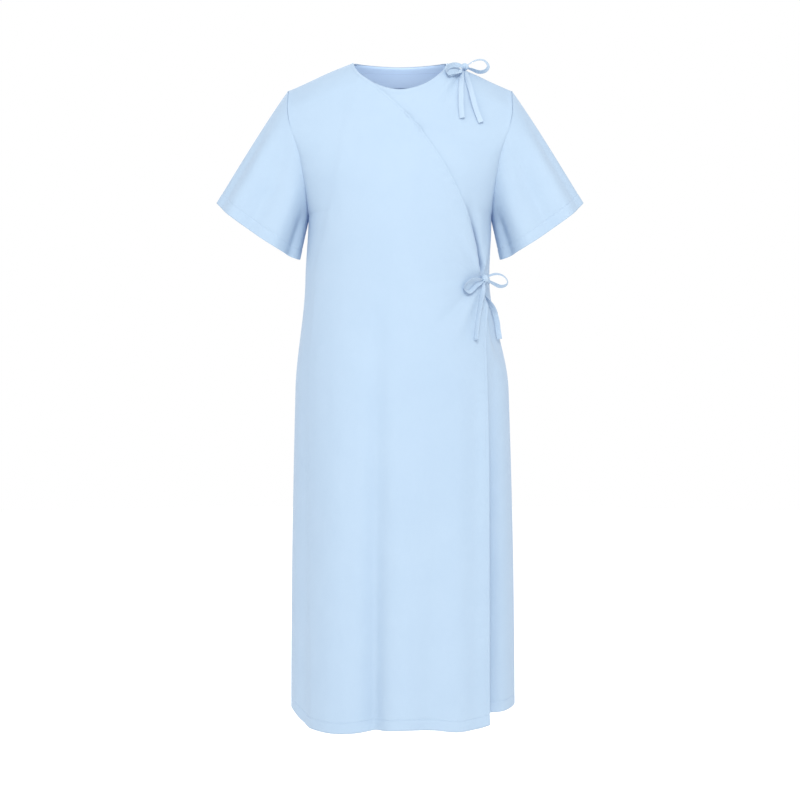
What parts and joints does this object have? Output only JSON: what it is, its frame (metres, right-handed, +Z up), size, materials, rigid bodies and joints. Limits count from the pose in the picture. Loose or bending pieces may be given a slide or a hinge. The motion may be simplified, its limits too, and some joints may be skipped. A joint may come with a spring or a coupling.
{
  "type": "patient gown",
  "caption": "Wrap-front patient gown with short sleeves, a tie bow at the left shoulder and another at the left of the waist.",
  "frame": {"origin": "middle of the neck opening, level with the two neck points on the shoulders", "axes": "+Z up along the body, -Y out of the front, +X towards the wearer's left"},
  "size_m": [0.6278, 0.3041, 1.1249],
  "materials": {
    "gown_poplin": "pale blue plain-weave poplin, matt",
    "facing_poplin": "the same poplin, inside face, matt",
    "tie_ribbon": "folded and edge-stitched strips of the same poplin"
  },
  "bodies": {
    "gown": {"back_neck_facing": "facing_poplin", "back_panel": "gown_poplin", "front_over_panel": "gown_poplin", "front_under_panel": "gown_poplin", "inner_tie_knot": "tie_ribbon", "inner_tie_panel_end": "tie_ribbon", "inner_tie_seam_end": "tie_ribbon", "neck_bow_knot": "tie_ribbon", "neck_bow_loop_front": "tie_ribbon", "neck_bow_loop_shoulder": "tie_ribbon", "under_panel_neck_facing": "facing_poplin", "waist_bow_knot": "tie_ribbon", "waist_bow_loop_front": "tie_ribbon", "waist_bow_loop_side": "tie_ribbon", "waist_bow_seam_tie": "tie_ribbon"},
    "left_sleeve": {"sleeve_left": "gown_poplin"},
    "right_sleeve": {"sleeve_right": "gown_poplin"},
    "over_corner": {"front_over_corner": "gown_poplin"},
    "waist_front_tail": {"waist_bow_tail_front": "tie_ribbon"},
    "waist_side_tail": {"waist_bow_tail_side": "tie_ribbon"},
    "neck_front_tail": {"neck_bow_tail_front": "tie_ribbon"},
    "neck_shoulder_tail": {"neck_bow_tail_shoulder": "tie_ribbon"}
  },
  "joints": [
    {"name": "left_sleeve_raise", "type": "hinge", "parent": "gown", "child": "left_sleeve", "pos_m": [0.1925, 0, -0.0425], "axis": [0, -1, 0], "range_deg": [0, 45]},
    {"name": "right_sleeve_raise", "type": "hinge", "parent": "gown", "child": "right_sleeve", "pos_m": [-0.1942, 0, -0.0425], "axis": [0, 1, 0], "range_deg": [0, 45]},
    {"name": "front_corner_open", "type": "hinge", "parent": "gown", "child": "over_corner", "pos_m": [0.141, -0.09358, -0.5], "axis": [-0.1462, -0.11, -0.9831], "range_deg": [0, 60]},
    {"name": "waist_front_tail_lift", "type": "hinge", "parent": "gown", "child": "waist_front_tail", "pos_m": [0.13848, -0.0547, -0.38277], "axis": [-0.6673, -0.7448, 0], "range_deg": [0, 80]},
    {"name": "waist_side_tail_lift", "type": "hinge", "parent": "gown", "child": "waist_side_tail", "pos_m": [0.14965, -0.02812, -0.38284], "axis": [-0.163, -0.9866, 0], "range_deg": [0, 80]},
    {"name": "neck_front_tail_lift", "type": "hinge", "parent": "gown", "child": "neck_front_tail", "pos_m": [0.10195, -0.04649, -0.02508], "axis": [-0.9889, -0.1483, 0], "range_deg": [0, 80]},
    {"name": "neck_shoulder_tail_lift", "type": "hinge", "parent": "gown", "child": "neck_shoulder_tail", "pos_m": [0.11314, -0.0424, -0.02598], "axis": [-0.9569, -0.2904, 0], "range_deg": [0, 80]}
  ]
}
